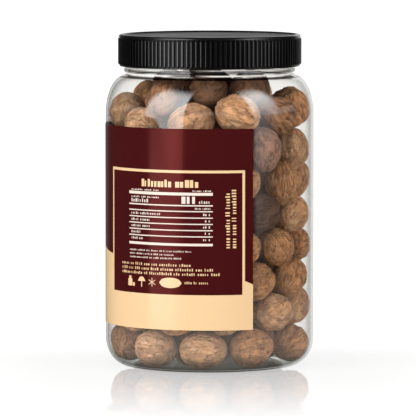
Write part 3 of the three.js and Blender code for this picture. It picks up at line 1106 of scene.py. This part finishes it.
def nutSurface(length, width, seed, form, around, along):
    # one nutmeg along +Z: points, furrow depth 0..1, end mark 0..1, place for the grain, faces
    turns = np.linspace(0, 2 * math.pi, around, endpoint=False)
    slants = np.linspace(0, math.pi, along + 1)[1:-1]
    turn, slant = np.meshgrid(turns, slants)
    turn = np.concatenate([turn.ravel(), [0, 0]])
    slant = np.concatenate([slant.ravel(), [0, math.pi]])
    across, up = np.sin(slant), np.cos(slant)
    way = np.stack([np.cos(turn) * across, np.sin(turn) * across, up], 1)
    away = way + seed * 7.31    # each nutmeg reads the noise elsewhere
    coarse, small = form["lumpCells"]
    lumps = (latticeNoise(away * coarse, seed) - 0.5) * 2 + (latticeNoise(away * small, seed + 1) - 0.5)
    size = 1 + form["lumps"] * lumps + form["egg"] * up
    warp = (latticeNoise(away * form["warpCells"], seed + 2) - 0.5) * form["warp"]
    roundness = np.sqrt(across)
    cells = np.stack([
        np.cos(turn) * form["cellsRound"] * roundness + warp,
        np.sin(turn) * form["cellsRound"] * roundness - warp,
        up * form["cellsAlong"] + warp * 0.6], 1) + seed * 3.7
    furrow = np.exp(-(toLine(cells, seed + 3) / form["furrowWidth"]) ** 2)
    crease = np.exp(-(toLine(cells * 1.8, seed + 4) / form["furrowWidth"]) ** 2)
    # a long groove down one side, from end to end
    aside = np.abs((turn - math.pi + 0.25 * (warp + up) + math.pi) % (2 * math.pi) - math.pi)
    groove = np.exp(-(aside / form["grooveWidth"]) ** 2) * across
    # the scar at the wide end, with a dimple in it, and the pit at the other
    fromTop = np.arccos(np.clip(way @ unit(form["hilumAim"]), -1, 1))
    fromBottom = np.arccos(np.clip(way @ unit(form["pitAim"]), -1, 1))
    edge = 1 + 0.35 * (latticeNoise(away * 5, seed + 5) - 0.5)
    scar = np.clip(1.35 - fromTop * edge / form["hilumRadius"], 0, 1)
    pit = np.exp(-(fromBottom / form["pitRadius"]) ** 2)
    relief = (-form["furrowDepth"] * furrow - form["fineDepth"] * crease - form["grooveDepth"] * groove
              + form["hilumRise"] * scar * (0.5 + edge) - form["pitDepth"] * pit
              - form["dimpleDepth"] * np.exp(-(fromTop / form["dimpleRadius"]) ** 2))
    points = np.stack([
        way[:, 0] * (width / 2 * size + relief),
        way[:, 1] * (width / 2 * size + relief),
        way[:, 2] * (length / 2 * (1 + form["lumps"] * 0.5 * lumps) + relief)], 1)
    # darker in the furrows, groove and pit: partly the skin's own colour, partly painted shade in these
    # hollows
    dark = np.clip(furrow + 0.5 * crease + 0.8 * groove + pit, 0, 1)
    grain = np.stack([np.cos(turn) * roundness, np.sin(turn) * roundness, up * length / width], 1) * width / 2
    here = np.arange(around)
    after = (here + 1) % around
    last = (len(slants) - 1) * around
    top, bottom = last + around, last + around + 1
    quads = np.concatenate([
        np.stack([row + here, row + around + here, row + around + after, row + after], 1)
        for row in range(0, last, around)])
    triangles = np.concatenate([
        np.stack([np.full(around, top), here, after], 1),
        np.stack([last + after, last + here, np.full(around, bottom)], 1)])
    return points, dark, scar, grain, quads, triangles


def putInPlace(points, nut, roll, flip):
    p, q = np.array(nut["ends"][0]), np.array(nut["ends"][1])
    axis = unit(p - q) * (-1 if flip else 1)
    side = unit(np.cross(axis, (0.31, 0.22, 0.93)))
    other = np.cross(axis, side)
    first = math.cos(roll) * side + math.sin(roll) * other
    second = np.cross(axis, first)
    return points @ np.stack([first, second, axis]) + (p + q) / 2


nutKinds = {
    # main colour, pale ridge tint (partly painted highlight), dark creases (partly painted shade), greyish
    # bloom, and how much of the bloom shows
    "fair": ((246, 180, 126), (255, 222, 186), (138, 84, 53), (232, 190, 158), 0.4),
    "tan": ((233, 165, 110), (255, 214, 172), (126, 74, 44), (222, 176, 144), 0.35),
    "brown": ((206, 140, 88), (242, 186, 134), (98, 55, 30), (198, 150, 120), 0.35),
    "dull": ((172, 116, 74), (214, 162, 118), (82, 46, 27), (166, 126, 102), 0.35),
    "grey": ((158, 110, 86), (204, 158, 132), (78, 50, 37), (164, 130, 116), 0.6),
    # dark: painted shade for the nutmegs on top, in the lid's shadow
    "dark": ((128, 82, 55), (178, 132, 98), (60, 36, 23), (132, 100, 81), 0.3),
    "deep": ((106, 66, 45), (152, 110, 84), (52, 32, 22), (112, 84, 70), 0.4),
    "inner": ((140, 92, 60), (176, 130, 92), (66, 39, 23), (124, 94, 74), 0.3),
}

nutSkin = {
    "drawnOut": 0.16,      # the less, the longer the wrinkles run along the nutmeg
    # wavy lines: scale and size of their wander, their own scale, and width
    "wrinkles": (0.9, 1.5, 1.05, 0.085),
    "hairs": (1.6, 0.5, 2.2, 0.12),
    "fibres": (1.1, 1.6, 1.0, 0.055),
    "creaseScale": 0.3, "creaseWander": (0.5, 4.5), "creaseWidth": 0.1,
    "creaseBreaks": (0.42, 0.6),       # creases run out where this noise is low
    "pitScale": 0.7, "pitWander": (1.1, 1.4), "pitFrom": (0.6, 0.7),
    "patchScale": 0.17,                # rough patches
    "dustScale": 0.13,
    "speckScale": 2.4,
    # how strongly each tints the colour, and how far each stands out or cuts in
    "tint": {"specks": 0.4, "paleRidgesAndHighlight": 0.45, "hairs": 0.2, "wrinkles": 0.42, "fibres": 0.5, "creases": 0.7,
             "pits": 0.35, "furrows": 0.4, "scar": 0.55},
    "height": {"specks": 0.5, "fibres": 0.7, "creases": 0.9, "wrinkles": 0.9, "hairs": 0.2, "pits": 1.2},
    "bump": (0.92, 0.0008),
    "saturation": 1.03,
    "tone": (1.06, 1.2),               # from the darkest nutmeg of a kind to the palest
    "roughness": (0.5, 0.7),
    "gloss": 0.4,
}


def nutMaterial(name, look, skin):
    material, tree = startMaterial(name)

    def stored(title):
        return node(tree, "Attribute", give="Vector", attribute_name=title)

    grain = stored("grain")
    furrow, scar, tone = split(tree, stored("marks"))
    wrinkled = split(tree, stored("nature"))[0]
    drawn = node(tree, "Mapping", {"Vector": grain, "Scale": (1, 1, skin["drawnOut"])})
    tint, stand = skin["tint"], skin["height"]
    *colours, bloomShare = look
    main, pale, dark, bloom = [linear(*colour) for colour in colours]

    def vectors(operation, first, second):
        return node(tree, "VectorMath", {0: first, 1: second}, operation=operation)

    def bent(scale, wander):
        push = node(tree, "TexNoise", {"Vector": drawn, "Scale": scale, "Detail": 1.5}, "Color")
        push = vectors("SUBTRACT", push, (0.5, 0.5, 0.5))
        return vectors("ADD", drawn, vectors("MULTIPLY", push, (wander,) * 3))

    def wavyLines(kind, shift=(0, 0, 0)):
        # 1 in the line, 0 on the swells between
        bendScale, wander, scale, width = skin[kind]
        swell = noise(tree, vectors("ADD", bent(bendScale, wander), shift), scale, 2)
        return band(tree, maths(tree, "ABSOLUTE", maths(tree, "SUBTRACT", swell, 0.5)), 0.0, width, 1.0, 0.0)

    def summed(shares):
        total = 0.0
        for kind, share in shares:
            total = maths(tree, "ADD", total, times(tree, share, stand[kind]))
        return total

    cracks = node(tree, "TexVoronoi", {"Vector": bent(*skin["creaseWander"]), "Scale": skin["creaseScale"]},
                  feature="DISTANCE_TO_EDGE")
    broken = band(tree, noise(tree, grain, 0.3, 2), *skin["creaseBreaks"], 0.1, 1.0)
    creases = times(tree, band(tree, cracks, 0.0, skin["creaseWidth"], 1.0, 0.0), broken)
    # rough patches with wrinkles lie between smoother ones, more of them on a well wrinkled nutmeg
    rough = maths(tree, "ADD", noise(tree, grain, skin["patchScale"], 2), times(tree, wrinkled, 0.22))
    rough = band(tree, rough, 0.42, 0.7, 0.3, 1.0)
    wrinkles = times(tree, wavyLines("wrinkles"), rough)
    hairs = times(tree, wavyLines("hairs"), band(tree, rough, 0.0, 1.0, 0.4, 1.0))
    fibres = times(tree, wavyLines("fibres", (31, 7, 3)), band(tree, rough, 0.2, 1.0, 0.25, 1.0))
    pits = band(tree, noise(tree, bent(*skin["pitWander"]), skin["pitScale"], 2), *skin["pitFrom"])
    pits = times(tree, pits, times(tree, rough, wrinkled))
    dust = noise(tree, grain, skin["dustScale"], 3)
    specks = noise(tree, grain, skin["speckScale"], 3)

    # pale on the swells between wrinkles, and pale fibre lines: partly the skin's own paler colour there,
    # partly painted highlight
    paleRidgesAndHighlight = times(tree, maths(tree, "SUBTRACT", 1.0, wrinkles), times(tree, rough, tint["paleRidgesAndHighlight"]))
    # the dark layers in wrinkles, creases, pits and furrows are partly the skin's own colour and partly
    # painted shade in these hollows
    colour = layered(tree, main, (
        (band(tree, specks, 0.3, 0.7, 0.0, tint["specks"]), pale),
        (paleRidgesAndHighlight, pale),
        (band(tree, dust, 0.4, 0.65, 0.0, bloomShare), bloom),
        (times(tree, hairs, tint["hairs"]), dark),
        (times(tree, wrinkles, tint["wrinkles"]), dark),
        (times(tree, fibres, tint["fibres"]), pale),
        (times(tree, creases, tint["creases"]), dark),
        (times(tree, pits, tint["pits"]), dark),
        (band(tree, furrow, 0.2, 1.0, 0.0, tint["furrows"]), dark),
        (times(tree, scar, tint["scar"]), pale)))
    value = band(tree, tone, 0.0, 1.0, *skin["tone"])
    shade = node(tree, "HueSaturation", {"Saturation": skin["saturation"], "Value": value, "Color": colour})
    cut = summed((("creases", creases), ("wrinkles", wrinkles), ("hairs", hairs), ("pits", pits)))
    rise = summed((("specks", specks), ("fibres", fibres)))
    shader = node(tree, "BsdfPrincipled", {
        "Base Color": shade,
        "Roughness": band(tree, specks, 0.3, 0.7, *skin["roughness"]),
        "Specular IOR Level": skin["gloss"],
        "Normal": bumpFrom(tree, maths(tree, "SUBTRACT", rise, cut), *skin["bump"]),
    })
    endMaterial(tree, shader)
    return material


def joinNuts(name, kind, nuts, around, along):
    points, quads, triangles, total = [], [], [], 0
    layers = {"marks": [], "grain": [], "nature": []}
    for nut in nuts:
        dice = random.Random(nut["number"])
        seed = dice.randrange(1, 4000)
        length, width = 2 * (nut["radius"] + nut["apart"]), 2 * nut["radius"]
        shape, dark, scar, grain, fours, threes = nutSurface(length, width, seed, nutForm, around, along)
        points.append(putInPlace(shape, nut, dice.uniform(0, 2 * math.pi), dice.random() < 0.5))
        layers["marks"].append(np.stack([dark, scar, np.full(len(shape), dice.random())], 1))
        # how wrinkled it is, and two spare draws
        nature = [dice.random() ** 1.3, dice.random(), dice.random()]
        layers["nature"].append(np.full((len(shape), 3), nature))
        stretch = np.array([1, 1, dice.uniform(0.7, 1.6)])
        layers["grain"].append(grain * stretch + np.array([dice.uniform(0, 900) for _ in range(3)]))
        quads.append(fours + total)
        triangles.append(threes + total)
        total += len(shape)
    piece = addMesh(name, np.concatenate(points), [np.concatenate(quads), np.concatenate(triangles)],
                    [nutMaterial(name + "Skin", nutKinds[kind], nutSkin)])
    for title, values in layers.items():
        layer = piece.data.attributes.new(title, "FLOAT_VECTOR", "POINT")
        layer.data.foreach_set("vector", np.concatenate(values).ravel())
    standFor(piece, "nutmegs")
    print(name, len(nuts), "nutmegs,", sum(len(p.vertices) - 2 for p in piece.data.polygons), "triangles")


mostPerPiece = 24
for kind in nutKinds:
    ofKind = [nut for nut in outerNuts if nut["kind"] == kind]
    for first in range(0, len(ofKind), mostPerPiece):
        suffix = str(first // mostPerPiece + 1) if first else ""
        joinNuts("nuts" + kind.capitalize() + suffix, kind, ofKind[first:first + mostPerPiece],
                 nutForm["around"], nutForm["along"])
joinNuts("nutsWithin", "inner", innerNuts, nutForm["innerAround"], nutForm["innerAlong"])
